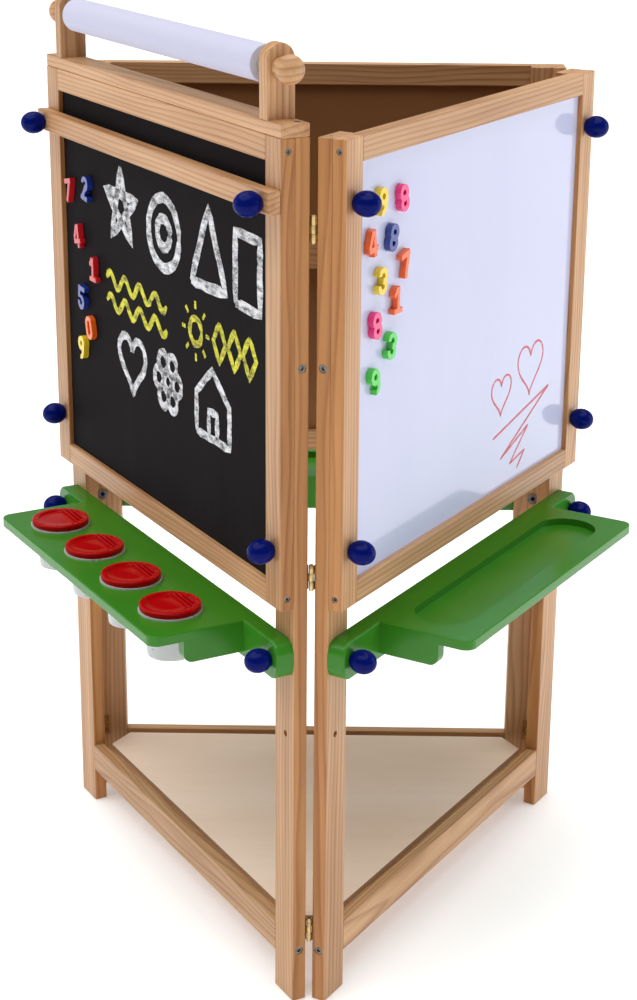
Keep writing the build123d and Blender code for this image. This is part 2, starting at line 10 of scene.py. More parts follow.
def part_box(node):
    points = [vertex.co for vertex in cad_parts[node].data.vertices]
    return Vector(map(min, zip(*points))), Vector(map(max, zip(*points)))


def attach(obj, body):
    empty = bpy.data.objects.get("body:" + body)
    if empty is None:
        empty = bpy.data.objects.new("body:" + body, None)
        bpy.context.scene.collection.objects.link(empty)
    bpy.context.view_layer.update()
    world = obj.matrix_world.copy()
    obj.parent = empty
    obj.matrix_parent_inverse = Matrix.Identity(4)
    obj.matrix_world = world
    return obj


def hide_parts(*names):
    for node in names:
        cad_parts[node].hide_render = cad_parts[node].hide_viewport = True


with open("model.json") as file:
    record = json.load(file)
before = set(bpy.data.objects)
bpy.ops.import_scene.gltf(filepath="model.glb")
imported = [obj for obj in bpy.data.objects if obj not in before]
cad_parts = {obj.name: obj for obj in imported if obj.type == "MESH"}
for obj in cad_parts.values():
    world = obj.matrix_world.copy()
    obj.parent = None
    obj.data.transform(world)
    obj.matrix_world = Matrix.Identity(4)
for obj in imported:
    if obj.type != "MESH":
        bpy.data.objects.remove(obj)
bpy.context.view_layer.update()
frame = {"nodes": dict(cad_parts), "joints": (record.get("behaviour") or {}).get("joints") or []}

# Looks of a three-sided children's easel. All lengths are metres, +Z is up, and the
# front corner points towards -Y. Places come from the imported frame.

NODES = frame["nodes"]
UP = Vector((0, 0, 1))
MM = 0.001


# ---- the three panels' own frames ----

class Panel:
    """u runs along a panel from its start corner, w outwards from the legs' inner faces."""

    def __init__(self, start, end, pin_out, pin_in):
        self.along = (end - start).normalized()
        self.outward = self.along.cross(UP)
        self.origin = start + self.along * pin_out + self.outward * pin_in

    def point(self, u, w, z):
        return self.origin + self.along * u + self.outward * w + UP * z


def joint_place(name):
    place = next(joint["pos_m"] for joint in frame["joints"] if joint["name"] == name)
    return Vector((place[0], place[1], 0))


def panel_frames():
    """The panels by name, from the hinge pins and the rear panel, which lies along X."""
    front = joint_place("front_corner_hinge")
    right = joint_place("right_corner_hinge")
    left = right + Matrix.Rotation(radians(120), 3, "Z") @ (right - front)
    low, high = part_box("rear_right_leg")
    pins = (right.x - high.x, low.y - right.y)
    return {
        "white": Panel(front, right, *pins),
        "rear": Panel(right, left, *pins),
        "chalk": Panel(left, front, *pins),
    }


PANELS = panel_frames()
PANEL_NAMES = tuple(PANELS)
BOARD_LOW, BOARD_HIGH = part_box("rear_board")
BOARD_FACE = BOARD_HIGH.y - PANELS["rear"].origin.y
BOARD_THICKNESS = BOARD_HIGH.y - BOARD_LOW.y
PANEL_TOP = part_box("rear_right_leg")[1].z


def centre(node):
    low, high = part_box(node)
    return (low + high) / 2


# ---- materials ----

class Graph:
    """Short calls for making one material's node tree."""

    def __init__(self, name, **values):
        self.material = bpy.data.materials.new(name)
        self.material.use_nodes = True
        self.tree = self.material.node_tree
        self.shader = self.tree.nodes["Principled BSDF"]
        self.place = self.add("ShaderNodeTexCoord").outputs["Object"]
        for socket, value in values.items():
            self.shader.inputs[socket.replace("_", " ")].default_value = value

    def add(self, kind, links=(), **values):
        node = self.tree.nodes.new(kind)
        for key, value in values.items():
            setattr(node, key, value)
        for socket, source in links:
            if isinstance(source, bpy.types.NodeSocket):
                self.tree.links.new(source, node.inputs[socket])
            else:
                node.inputs[socket].default_value = source
        return node

    def link(self, source, socket):
        self.tree.links.new(source, self.shader.inputs[socket])

    def dot(self, vector, axis):
        return self.add("ShaderNodeVectorMath", [(0, vector), (1, tuple(axis))],
                        operation="DOT_PRODUCT").outputs["Value"]

    def maths(self, operation, a, b=0.0, c=0.0):
        return self.add("ShaderNodeMath", [(0, a), (1, b), (2, c)], operation=operation).outputs[0]

    def vector(self, x, y, z):
        return self.add("ShaderNodeCombineXYZ", [(0, x), (1, y), (2, z)]).outputs[0]

    def scaled(self, vector, scale, offset=(0, 0, 0)):
        return self.add("ShaderNodeMapping", [("Vector", vector), ("Scale", scale),
                                              ("Location", offset)]).outputs[0]

    def noise(self, vector, scale, detail=3.0, rough=0.5):
        return self.add("ShaderNodeTexNoise", [("Vector", vector), ("Scale", scale), ("Detail", detail),
                                               ("Roughness", rough)]).outputs[0]

    def ramp(self, value, stops):
        node = self.add("ShaderNodeValToRGB", [(0, value)])
        elements = node.color_ramp.elements
        while len(elements) < len(stops):
            elements.new(0.5)
        for element, (position, colour) in zip(elements, stops):
            element.position = position
            element.color = colour if isinstance(colour, tuple) else (colour, colour, colour, 1)
        return node.outputs[0]

    def mix(self, amount, a, b, blend="MIX"):
        node = self.add("ShaderNodeMix", data_type="RGBA", blend_type=blend)
        for socket, source in ((0, amount), (6, a), (7, b)):
            if isinstance(source, bpy.types.NodeSocket):
                self.tree.links.new(source, node.inputs[socket])
            else:
                node.inputs[socket].default_value = source
        return node.outputs[2]

    def spread(self, value, low, high):
        """A value from 0 to 1 taken to the range from low to high."""
        return self.add("ShaderNodeMapRange", [("Value", value), ("To Min", low),
                                               ("To Max", high)]).outputs[0]

    def bump(self, height, strength, distance):
        node = self.add("ShaderNodeBump", [("Height", height), ("Strength", strength),
                                           ("Distance", distance)])
        self.link(node.outputs[0], "Normal")


def shade(colour, factor):
    return tuple(channel * factor for channel in colour[:3]) + (1,)


PINE_PALE = (0.72, 0.435, 0.22, 1)
PINE_DEEP = (0.31, 0.112, 0.026, 1)
# Painted shade for sawn edges: a darker, more orange multiplier standing in for weaker light and wood-to-wood
# bounce light.
EDGE_PAINTED_SHADE = (0.92, 0.74, 0.50, 1)
RING_SPACING = 6.2 * MM
RING_SWAY = 55 * MM
PITH_DISTANCE = (0.04, 0.09)
PITH_SCATTER = 10 * MM
RING_PROFILE = [(0.0, 0.05), (0.45, 0.20), (0.84, 1.0), (1.0, 0.08)]
RING_SHARE = 0.46
STREAK_SHARE = 0.50
CLOUD_SHARE = 0.34


def pine(name, grain, seed, shaded_edge_axis=None):
    """Clear-varnished pine: growth rings round a pith beside the piece, fibres along the grain.

    Sawn edges, which face along the given edge axis, carry painted shade: they are made darker and more
    orange, standing in for the weaker light and the wood-to-wood bounce light they get.
    """
    draw = random.Random(seed)
    graph = Graph(name, Roughness=0.42, Coat_Weight=0.08, Coat_Roughness=0.25, Specular_IOR_Level=0.35)
    side = Vector(grain).cross(Vector((0.31, 0.87, 0.39))).normalized()
    depth = Vector(grain).cross(side)
    run, across, deepness = (graph.dot(graph.place, axis) for axis in (grain, side, depth))
    pith_angle = draw.uniform(0, tau)
    pith = (cos(pith_angle) * draw.uniform(*PITH_DISTANCE), sin(pith_angle) * draw.uniform(*PITH_DISTANCE))
    shift = (draw.uniform(0, 9), draw.uniform(0, 9), draw.uniform(0, 9))
    grain_space = graph.vector(run, across, deepness)
    sway = graph.noise(graph.scaled(grain_space, (1.6, 9, 9), shift), 1.0, 2.0)
    swayed = graph.maths("MULTIPLY", graph.maths("SUBTRACT", sway, 0.5), RING_SWAY)
    middle = (draw.uniform(-PITH_SCATTER, PITH_SCATTER), draw.uniform(-PITH_SCATTER, PITH_SCATTER))
    off_a = graph.maths("ADD", graph.maths("SUBTRACT", across, pith[0] + middle[0]), swayed)
    off_b = graph.maths("ADD", graph.maths("SUBTRACT", deepness, pith[1] + middle[1]), swayed)
    radius = graph.maths("SQRT", graph.maths("ADD", graph.maths("MULTIPLY", off_a, off_a),
                                             graph.maths("MULTIPLY", off_b, off_b)))
    ring = graph.maths("FRACT", graph.maths("MULTIPLY", radius, 1 / RING_SPACING))
    rings = graph.ramp(ring, RING_PROFILE)
    fibres = graph.noise(graph.scaled(grain_space, (14, 900, 900), shift), 1.0, 3.0)
    streaks = graph.noise(graph.scaled(grain_space, (2.2, 85, 85), shift), 1.0, 3.0)
    clouds = graph.noise(graph.scaled(grain_space, (3.0, 12, 12), shift), 1.0, 2.0)
    amount = graph.maths("ADD", graph.maths("MULTIPLY", rings, RING_SHARE),
                         graph.maths("MULTIPLY", graph.spread(streaks, -0.75, 1.25), STREAK_SHARE))
    amount = graph.maths("ADD", amount, graph.maths("MULTIPLY", graph.spread(clouds, -0.7, 1.0), CLOUD_SHARE))
    tone = draw.uniform(0.88, 1.06)
    colour = graph.mix(amount, shade(PINE_PALE, tone), shade(PINE_DEEP, tone))
    colour = graph.mix(graph.spread(fibres, 0.0, 0.36), colour, shade(PINE_PALE, 0.62), "MULTIPLY")
    # Painted shade: faces looking along the edge axis are multiplied darker and more orange, standing in for
    # weaker light and wood bounce.
    if shaded_edge_axis:
        normal = graph.add("ShaderNodeNewGeometry").outputs["Normal"]
        edge = graph.maths("GREATER_THAN", graph.maths("ABSOLUTE", graph.dot(normal, shaded_edge_axis)), 0.8)
        colour = graph.mix(edge, colour, graph.mix(1.0, colour, EDGE_PAINTED_SHADE, "MULTIPLY"))
    graph.link(colour, "Base Color")
    graph.link(graph.spread(fibres, 0.34, 0.52), "Roughness")
    graph.bump(graph.maths("ADD", fibres, graph.maths("MULTIPLY", rings, 0.4)), 0.22, 0.0004)
    return graph.material


BIRCH_PALE = (1.0, 0.81, 0.665, 1)
BIRCH_DEEP = (0.95, 0.72, 0.56, 1)
BIRCH_BAND = (0.88, 0.74, 0.64, 1)
BIRCH_FLECK = (0.5, 0.32, 0.2, 1)
PLY_LONG_GRAIN = (0.74, 0.53, 0.34, 1)
PLY_END_GRAIN = (0.40, 0.22, 0.105, 1)
PLY_FLECK = (0.34, 0.2, 0.1, 1)
PLY_COUNT = 5


def plywood(name, low, high):
    """Pale rotary-cut birch faces, with the plies showing on the cut edges."""
    graph = Graph(name, Roughness=0.38, Coat_Weight=0.1, Coat_Roughness=0.2)
    sway = graph.noise(graph.scaled(graph.place, (2.2, 7, 2)), 1.0, 3.0)
    bands = graph.noise(graph.scaled(graph.place, (3.0, 60, 30)), 1.0, 4.0, 0.62)
    flecks = graph.noise(graph.scaled(graph.place, (60, 900, 200)), 1.0, 2.0)
    face = graph.mix(graph.ramp(sway, [(0.35, 0.0), (0.68, 1.0)]), BIRCH_PALE, BIRCH_DEEP)
    face = graph.mix(graph.spread(bands, 0.0, 0.36), face, BIRCH_BAND, "MULTIPLY")
    face = graph.mix(graph.spread(flecks, 0.0, 0.16), face, BIRCH_FLECK)
    height = graph.dot(graph.place, UP)
    layer = graph.maths("MULTIPLY", graph.maths("SUBTRACT", height, low), PLY_COUNT / (high - low))
    even = graph.maths("LESS_THAN", graph.maths("MODULO", layer, 2.0), 1.0)
    plies = graph.mix(even, PLY_END_GRAIN, PLY_LONG_GRAIN)
    plies = graph.mix(graph.spread(flecks, 0.0, 0.5), plies, PLY_FLECK)
    normal = graph.add("ShaderNodeNewGeometry").outputs["Normal"]
    level = graph.maths("GREATER_THAN", graph.maths("ABSOLUTE", graph.dot(normal, UP)), 0.7)
    graph.link(graph.mix(level, plies, face), "Base Color")
    graph.link(graph.spread(bands, 0.3, 0.46), "Roughness")
    graph.bump(flecks, 0.12, 0.0003)
    return graph.material


HARDBOARD_DEEP = (0.27, 0.115, 0.038, 1)
HARDBOARD_PALE = (0.36, 0.16, 0.055, 1)
HARDBOARD_FIBRE = (0.13, 0.052, 0.016, 1)
SLATE_PAINT = (0.0090, 0.0070, 0.0078, 1)
SLATE_GRIT = (0.019, 0.0155, 0.017, 1)
CHALK_DUST = (0.42, 0.42, 0.44, 1)
# Painted light: white melamine tinted lilac-blue, the cool softbox light's cast painted into its colour.
MELAMINE_PALE_COOL_CAST = (0.575, 0.595, 0.77, 1)
MELAMINE_DEEP_COOL_CAST = (0.545, 0.565, 0.745, 1)
MELAMINE_COAT = 0.4
BACK_ROUGHNESS = 0.6


def board_sides(graph, panel, front, back):
    """One colour on a board's outer face, and another on its back and edges."""
    face = (panel.origin + panel.outward * (BOARD_FACE - BOARD_THICKNESS / 2)).dot(panel.outward)
    outside = graph.maths("GREATER_THAN", graph.dot(graph.place, panel.outward), face)
    return graph.mix(outside, back, front), outside


def hardboard_colour(graph):
    """Brown pressed-fibre back of a board, with fine mottling."""
    mottle = graph.noise(graph.scaled(graph.place, (1, 1, 1)), 420.0, 3.0, 0.6)
    cloud = graph.noise(graph.scaled(graph.place, (1, 1, 1)), 6.0, 3.0)
    brown = graph.mix(graph.spread(cloud, 0.0, 1.0), HARDBOARD_DEEP, HARDBOARD_PALE)
    return graph.mix(graph.spread(mottle, 0.0, 0.45), brown, HARDBOARD_FIBRE)


def chalkboard(panel):
    """Matte slate paint with faint wiped chalk dust."""
    graph = Graph("chalkboard_face", Roughness=0.7, Specular_IOR_Level=0.03)
    dust = graph.noise(graph.scaled(graph.place, (9, 9, 2.5)), 1.0, 5.0, 0.6)
    swipe = graph.noise(graph.scaled(graph.place, (2, 2, 30)), 1.0, 3.0, 0.55)
    grit = graph.noise(graph.place, 1500.0, 2.0)
    amount = graph.maths("MULTIPLY", graph.ramp(dust, [(0.45, 0.0), (0.8, 0.022)]),
                         graph.spread(swipe, 0.35, 1.0))
    paint = graph.mix(amount, SLATE_PAINT, CHALK_DUST)
    paint = graph.mix(graph.spread(grit, 0.0, 0.3), paint, SLATE_GRIT)
    colour, outside = board_sides(graph, panel, paint, hardboard_colour(graph))
    graph.link(colour, "Base Color")
    graph.link(graph.spread(dust, 0.58, 0.78), "Roughness")
    graph.bump(grit, 0.14, 0.0002)
    return graph.material


def whiteboard(panel, name):
    """Glossy white melamine with faint wiped smears; its lilac-blue tint is a painted cast of cool light."""
    graph = Graph(name, Coat_Roughness=0.04, Specular_IOR_Level=0.3)
    smear = graph.noise(graph.scaled(graph.place, (5, 5, 1.4)), 1.0, 4.0, 0.55)
    film = graph.mix(graph.ramp(smear, [(0.4, 0.0), (0.75, 1.0)]), MELAMINE_PALE_COOL_CAST, MELAMINE_DEEP_COOL_CAST)
    colour, outside = board_sides(graph, panel, film, hardboard_colour(graph))
    graph.link(colour, "Base Color")
    gloss = graph.spread(smear, 0.08, 0.16)
    rough = graph.add("ShaderNodeMix", data_type="FLOAT")
    for socket, source in ((0, outside), (3, gloss)):
        graph.tree.links.new(source, rough.inputs[socket])
    rough.inputs[2].default_value = BACK_ROUGHNESS
    graph.link(rough.outputs[0], "Roughness")
    graph.link(graph.maths("MULTIPLY", outside, MELAMINE_COAT), "Coat Weight")
    graph.bump(graph.noise(graph.place, 60.0, 2.0), 0.02, 0.0004)
    return graph.material


def moulded(name, colour, roughness, grain=650.0, coat=0.25, **values):
    """Moulded plastic: slow colour drift, fine surface grain and a soft gloss."""
    graph = Graph(name, Coat_Weight=coat, Coat_Roughness=0.12, **values)
    drift = graph.noise(graph.place, 14.0, 3.0)
    tone = graph.mix(graph.spread(drift, 0.0, 1.0), shade(colour, 0.90), shade(colour, 1.08))
    graph.link(tone, "Base Color")
    wear = graph.noise(graph.place, 90.0, 3.0)
    graph.link(graph.spread(wear, roughness * 0.85, roughness * 1.2), "Roughness")
    graph.bump(graph.noise(graph.place, grain, 2.0), 0.06, 0.0003)
    return graph.material


def metal(name, colour, dark, roughness):
    """Drawn or plated metal with fine scratches and duller patches."""
    graph = Graph(name, Metallic=1.0)
    scratch = graph.noise(graph.scaled(graph.place, (300, 300, 2500)), 1.0, 3.0)
    patch = graph.noise(graph.place, 180.0, 3.0)
    graph.link(graph.mix(graph.ramp(patch, [(0.4, 0.0), (0.75, 1.0)]), colour, dark), "Base Color")
    graph.link(graph.spread(scratch, roughness * 0.7, roughness * 1.5), "Roughness")
    graph.bump(scratch, 0.15, 0.0001)
    return graph.material


# Painted light: the white paper and its end rings are tinted lilac-blue, the cool light's cast painted into
# their colour.
PAPER_DEEP_COOL_CAST = (0.54, 0.54, 0.68, 1)
PAPER_PALE_COOL_CAST = (0.59, 0.59, 0.73, 1)
WINDING_GAP = (0.42, 0.42, 0.52, 1)
WINDING_EDGE = (0.78, 0.78, 0.88, 1)
WINDINGS_PER_METRE = 5200.0
CARD_DEEP = (0.30, 0.22, 0.15, 1)
CARD_PALE = (0.52, 0.41, 0.30, 1)


def paper(name, axis_point, axis):
    """Uncoated white paper with a painted lilac-blue cast of cool light, its windings showing as rings on the
    roll's ends.
    """
    graph = Graph(name, Roughness=0.72)
    side = Vector(axis).cross(UP).normalized()
    across = graph.maths("SUBTRACT", graph.dot(graph.place, side), axis_point.dot(side))
    level = graph.maths("SUBTRACT", graph.dot(graph.place, UP), axis_point.z)
    radius = graph.maths("SQRT", graph.maths("ADD", graph.maths("MULTIPLY", across, across),
                                             graph.maths("MULTIPLY", level, level)))
    turns = graph.maths("MULTIPLY", radius, WINDINGS_PER_METRE)
    winding = graph.noise(graph.vector(turns, 0.0, 0.0), 1.0, 2.0)
    normal = graph.add("ShaderNodeNewGeometry").outputs["Normal"]
    end = graph.maths("GREATER_THAN", graph.maths("ABSOLUTE", graph.dot(normal, axis)), 0.8)
    fibre = graph.noise(graph.place, 900.0, 3.0)
    sheet = graph.mix(graph.spread(fibre, 0.0, 1.0), PAPER_DEEP_COOL_CAST, PAPER_PALE_COOL_CAST)
    rings = graph.mix(graph.ramp(winding, [(0.42, 0.0), (0.6, 1.0)]), WINDING_GAP, WINDING_EDGE)
    graph.link(graph.mix(end, sheet, rings), "Base Color")
    graph.bump(fibre, 0.1, 0.0002)
    return graph.material


def card(name):
    """Grey-brown cardboard tube with a fibrous surface."""
    graph = Graph(name, Roughness=0.8)
    fibre = graph.noise(graph.place, 700.0, 4.0)
    graph.link(graph.mix(graph.spread(fibre, 0.0, 1.0), CARD_DEEP, CARD_PALE), "Base Color")
    graph.bump(fibre, 0.2, 0.0003)
    return graph.material


def drawn(name, colour, ground, cover, roughness):
    """Chalk or marker on a board: the ground shows through where the stroke skips."""
    graph = Graph(name, Roughness=roughness)
    grit = graph.noise(graph.place, 900.0, 3.0, 0.7)
    skip = graph.noise(graph.scaled(graph.place, (60, 60, 150)), 1.0, 3.0, 0.6)
    both = graph.maths("ADD", graph.maths("MULTIPLY", grit, 0.55), graph.maths("MULTIPLY", skip, 0.45))
    laid = graph.ramp(both, [(cover - 0.12, 1.0), (cover + 0.04, 0.0)])
    graph.link(graph.mix(laid, ground, colour), "Base Color")
    graph.bump(grit, 0.3, 0.0003)
    return graph.material


def set_material(node, material):
    piece = NODES[node]
    piece.data.materials.clear()
    piece.data.materials.append(material)


# ---- mesh helpers ----

def add_mesh(name, mesh_maker, material, body, smooth=True):
    """A new piece from a function that fills a bmesh."""
    builder = bmesh.new()
    mesh_maker(builder)
    bmesh.ops.recalc_face_normals(builder, faces=builder.faces)
    mesh = bpy.data.meshes.new(name)
    builder.to_mesh(mesh)
    builder.free()
    piece = bpy.data.objects.new(name, mesh)
    bpy.context.scene.collection.objects.link(piece)
    mesh.materials.append(material)
    if smooth:
        mesh.shade_smooth()
    bpy.context.view_layer.update()
    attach(piece, body)
    return piece


BEVEL_ANGLE = radians(50)


def bevel(piece, width):
    """Eases the sharp edges of a piece."""
    modifier = piece.modifiers.new("eased_edges", "BEVEL")
    modifier.width = width
    modifier.segments = 3
    modifier.limit_method = "ANGLE"
    modifier.angle_limit = BEVEL_ANGLE
    modifier.harden_normals = False


def smooth_by_angle(piece, angle):
    """Round faces shade smoothly and real edges stay crisp."""
    piece.data.shade_smooth()
    builder = bmesh.new()
    builder.from_mesh(piece.data)
    for edge in builder.edges:
        if len(edge.link_faces) == 2 and edge.calc_face_angle(0) > radians(angle):
            edge.smooth = False
    builder.to_mesh(piece.data)
    builder.free()


# ---- wood and the other carried-over CAD pieces ----

def wooden_nodes():
    """Name, grain direction and the direction of the sawn edges that get painted shade, for every wooden
    node.
    """
    for name in sorted(NODES):
        owner = next((panel for panel in PANEL_NAMES if name.startswith(panel)), "chalk")
        along = PANELS[owner].along
        if name.endswith(("leg", "stile")):
            yield name, UP, along
        elif name.endswith(("rail", "brace")):
            yield name, along, None
        elif name.startswith("roll_bracket"):
            yield name, UP, None
        elif name in ("roll_base", "roll_dowel", "roll_dowel_knobs", "paper_guard_bar"):
            yield name, along, None


TRAY_GREEN = (0.036, 0.215, 0.011, 1)
KNOB_BLUE = (0.001, 0.006, 0.12, 1)
LID_RED = (0.43, 0.002, 0.003, 1)
CUP_WHITE = (0.86, 0.85, 0.82, 1)
STEEL_PALE = (0.22, 0.20, 0.17, 1)
STEEL_DARK = (0.07, 0.06, 0.05, 1)
BRASS_PALE = (0.62, 0.47, 0.22, 1)
BRASS_DARK = (0.22, 0.15, 0.06, 1)
CUPS = range(1, 5)


def dress_cad_nodes():
    for name, grain, shaded_edge_axis in wooden_nodes():
        set_material(name, pine("pine_" + name, grain, name, shaded_edge_axis))
    low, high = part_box("shelf")
    set_material("shelf", plywood("shelf_plywood", low.z, high.z))
    set_material("chalk_board", chalkboard(PANELS["chalk"]))
    set_material("white_board", whiteboard(PANELS["white"], "whiteboard_face"))
    set_material("rear_board", whiteboard(PANELS["rear"], "rear_board_face"))
    green = moulded("tray_green", TRAY_GREEN, 0.24, 520.0, 0.08, Specular_IOR_Level=0.26)
    blue = moulded("knob_blue", KNOB_BLUE, 0.12, 300.0, 0.02, Specular_IOR_Level=0.06)
    steel = metal("fastener_steel", STEEL_PALE, STEEL_DARK, 0.30)
    brass = metal("hinge_brass", BRASS_PALE, BRASS_DARK, 0.22)
    for panel in PANEL_NAMES:
        set_material(f"{panel}_tray", green)
        set_material(f"{panel}_knobs", blue)
        set_material(f"{panel}_fasteners", steel)
        set_material(f"{panel}_hinge_leaves", brass)
    for node in ("white_hinge_pins", "rear_hinge_pins"):
        set_material(node, brass)
    set_material("roll_core", card("roll_core_card"))
    cloudy = moulded("cup_white", CUP_WHITE, 0.28, 400.0, 0.2,
                     Transmission_Weight=0.35, Subsurface_Weight=0.2, IOR=1.45)
    for index in CUPS:
        set_material(f"paint_cup_{index}", cloudy)


# ---- paper roll ----

ROLL_STEPS = 96
LOOSE_EDGE_ANGLE = 2.2
LOOSE_EDGE_STEP = 0.9 * MM
ROLL_END_EASE = 0.6 * MM


def wound_roll():
    """Paper wound on the core: a long spiral section with the sheet's loose edge showing."""
    middle = centre("roll_core")
    along = PANELS["chalk"].along
    low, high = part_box("paper_roll")
    outer = (high.z - low.z) / 2
    core_low, core_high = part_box("roll_core")
    inner = (core_high.z - core_low.z) / 2
    half_width = ((high.x - low.x) / 2 - outer * abs(along.y)) / abs(along.x)
    side = along.cross(UP)
    steps = ROLL_STEPS
    eased = half_width - ROLL_END_EASE

    def spot(offset, step, radius):
        angle = tau * step / steps + LOOSE_EDGE_ANGLE
        return middle + along * offset + side * cos(angle) * radius + UP * sin(angle) * radius

    def build(builder):
        rings = []
        ends = ((-half_width, ROLL_END_EASE), (-eased, 0.0), (eased, 0.0), (half_width, ROLL_END_EASE))
        for offset, ease in ends:
            rings.append([builder.verts.new(
                spot(offset, step, outer - LOOSE_EDGE_STEP * (1 - step / steps) - ease))
                for step in range(steps + 1)])
        bores = [[builder.verts.new(spot(offset, step, inner)) for step in range(steps)]
                 for offset in (-half_width, half_width)]
        for first, second in zip(rings, rings[1:]):
            for step in range(steps):
                builder.faces.new((first[step], first[step + 1], second[step + 1], second[step]))
            builder.faces.new((first[steps], first[0], second[0], second[steps]))
        for ring, bore in ((rings[0], bores[0]), (rings[-1], bores[1])):
            for step in range(steps - 1):
                builder.faces.new((ring[step], ring[step + 1], bore[step + 1], bore[step]))
            builder.faces.new((ring[steps - 1], ring[steps], bore[0], bore[steps - 1]))
            builder.faces.new((ring[steps], ring[0], bore[0]))
        for step in range(steps):
            after = (step + 1) % steps
            builder.faces.new((bores[0][step], bores[0][after], bores[1][after], bores[1][step]))

    roll = add_mesh("wound_paper_roll", build, paper("roll_paper", middle, along), "roll")
    smooth_by_angle(roll, 28)
    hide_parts("paper_roll")


# ---- paint cup lids ----

CUP_RIM_SHOWS = 1.5 * MM
LID_STEPS = 96
LID_FLOOR_LIFT = 0.2 * MM
LID_SKIRT_INSET = 8 * MM
LID_RIM_WIDTH = 9 * MM
LID_LIP_RADIUS = 2.2 * MM
LID_LIP_STEPS = 6
LID_LIP_DROP = 1.2 * MM
LID_BUMPS = 10
LID_BUMP_INSET = 4.6 * MM
LID_BUMP_SIZE = (3.4 * MM, 2.4 * MM, 0.8 * MM)
LID_BUMP_SINK = 1.3 * MM
LID_RIBS = 3
LID_RIB_START = 13.5 * MM
LID_RIB_PITCH = 5.6 * MM
LID_RIB_END_GAP = 5 * MM
LID_RIB_WIDTH = 2.6 * MM
LID_RIB_HEIGHT = 3.2 * MM
LID_RIB_SINK = 3.4 * MM


def lathe(builder, middle, profile, steps):
    """Turns a closed (radius, height) outline about a vertical axis; radius 0 makes a pole."""
    rings = []
    for radius, height in profile:
        if radius == 0:
            rings.append([builder.verts.new(middle + UP * height)])
            continue
        rings.append([builder.verts.new(middle + Vector((cos(tau * step / steps) * radius,
                                                         sin(tau * step / steps) * radius, height)))
                      for step in range(steps)])
    for first, second in zip(rings, rings[1:]):
        for step in range(steps):
            after = (step + 1) % steps
            if len(first) == 1:
                builder.faces.new((first[0], second[after], second[step]))
            elif len(second) == 1:
                builder.faces.new((first[step], first[after], second[0]))
            else:
                builder.faces.new((first[step], first[after], second[after], second[step]))


def soft_bar(builder, middle, along, across, length, width, height):
    """A low rib with a rounded top and rounded ends."""
    steps, rows = 10, 6
    loops = []
    for row in range(rows + 1):
        lift = sin(row / rows * pi / 2)
        shrink = cos(row / rows * pi / 2)
        loop = []
        for end in (1, -1):
            for step in range(steps + 1):
                angle = pi * step / steps - pi / 2
                reach = width / 2 * (0.25 + 0.75 * shrink)
                loop.append(builder.verts.new(
                    middle + along * (end * (length / 2 - width / 2 + cos(angle) * reach))
                    + across * (end * sin(angle) * reach) + UP * (lift * height)))
        loops.append(loop)
    count = len(loops[0])
    for first, second in zip(loops, loops[1:]):
        for step in range(count):
            after = (step + 1) % count
            builder.faces.new((first[step], first[after], second[after], second[step]))
    builder.faces.new(loops[-1])
    builder.faces.new(loops[0][::-1])


def lid_shell(node):
    """The maker of one lid's mesh: a rounded rim, a dished middle, bumps and three ribs."""
    low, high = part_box(node)
    rim = (high.x - low.x) / 2 - CUP_RIM_SHOWS
    middle = Vector(((low.x + high.x) / 2, (low.y + high.y) / 2, 0))
    cup_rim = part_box(node.replace("lid", "cup"))[1].z
    top = high.z
    dish = rim - LID_RIM_WIDTH
    skirt = rim - LID_SKIRT_INSET
    lip_top = top - LID_LIP_DROP
    panel = PANELS["chalk"]

    def outline():
        """From the middle of the underside, round the lip, to the middle of the dish."""
        points = [(0, low.z + LID_FLOOR_LIFT), (skirt, low.z + LID_FLOOR_LIFT), (skirt, cup_rim),
                  (rim - 1.2 * MM, cup_rim), (rim - 0.6 * MM, cup_rim + 0.8 * MM), (rim, cup_rim + 1.8 * MM)]
        for step in range(LID_LIP_STEPS + 1):
            angle = pi / 2 * step / LID_LIP_STEPS
            points.append((rim - LID_LIP_RADIUS + cos(angle) * LID_LIP_RADIUS,
                           lip_top - LID_LIP_RADIUS + sin(angle) * LID_LIP_RADIUS))
        return points + [(dish + 2.2 * MM, lip_top), (dish + 0.8 * MM, top - 1.6 * MM),
                         (dish, top - 3.0 * MM), (dish - 1.2 * MM, top - 3.6 * MM),
                         (dish * 0.6, top - 3.3 * MM), (dish * 0.3, top - 3.1 * MM), (0, top - 3.0 * MM)]

    def build(builder):
        lathe(builder, middle, outline(), LID_STEPS)
        for bump in range(LID_BUMPS):
            angle = tau * (bump + 0.5) / LID_BUMPS
            out = Vector((cos(angle), sin(angle), 0))
            spot = middle + out * (rim - LID_BUMP_INSET) + UP * (top - LID_BUMP_SINK)
            soft_bar(builder, spot, out, out.cross(UP), *LID_BUMP_SIZE)
        inward = -panel.outward
        for rib in range(LID_RIBS):
            reach = LID_RIB_START + rib * LID_RIB_PITCH
            half = (rim * rim - reach * reach) ** 0.5 - LID_RIB_END_GAP
            spot = middle + inward * reach + UP * (top - LID_RIB_SINK)
            soft_bar(builder, spot, panel.along, inward, half * 2, LID_RIB_WIDTH, LID_RIB_HEIGHT)

    return build


def lids():
    red = moulded("lid_red", LID_RED, 0.12, 260.0, 0.04, Specular_IOR_Level=0.08)
    for index in CUPS:
        node = f"paint_lid_{index}"
        lid = add_mesh(f"ribbed_lid_{index}", lid_shell(node), red, f"lid_{index}")
        smooth_by_angle(lid, 40)
        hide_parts(node)


# ---- number magnets ----

MAGNET_COLOURS = {
    "red": (0.62, 0.012, 0.02, 1), "blue": (0.012, 0.035, 0.27, 1), "orange": (0.90, 0.13, 0.008, 1),
    "yellow": (0.86, 0.62, 0.012, 1), "pink": (0.86, 0.022, 0.20, 1), "green": (0.05, 0.62, 0.045, 1),
}
CHALK_DIGITS = ("blue", "red", "red", "red", "blue", "orange", "yellow")
WHITE_DIGITS = ("yellow", "pink", "blue", "orange", "orange", "yellow", "orange", "pink", "green", "green")
MAGNET_EASE = 1.1 * MM


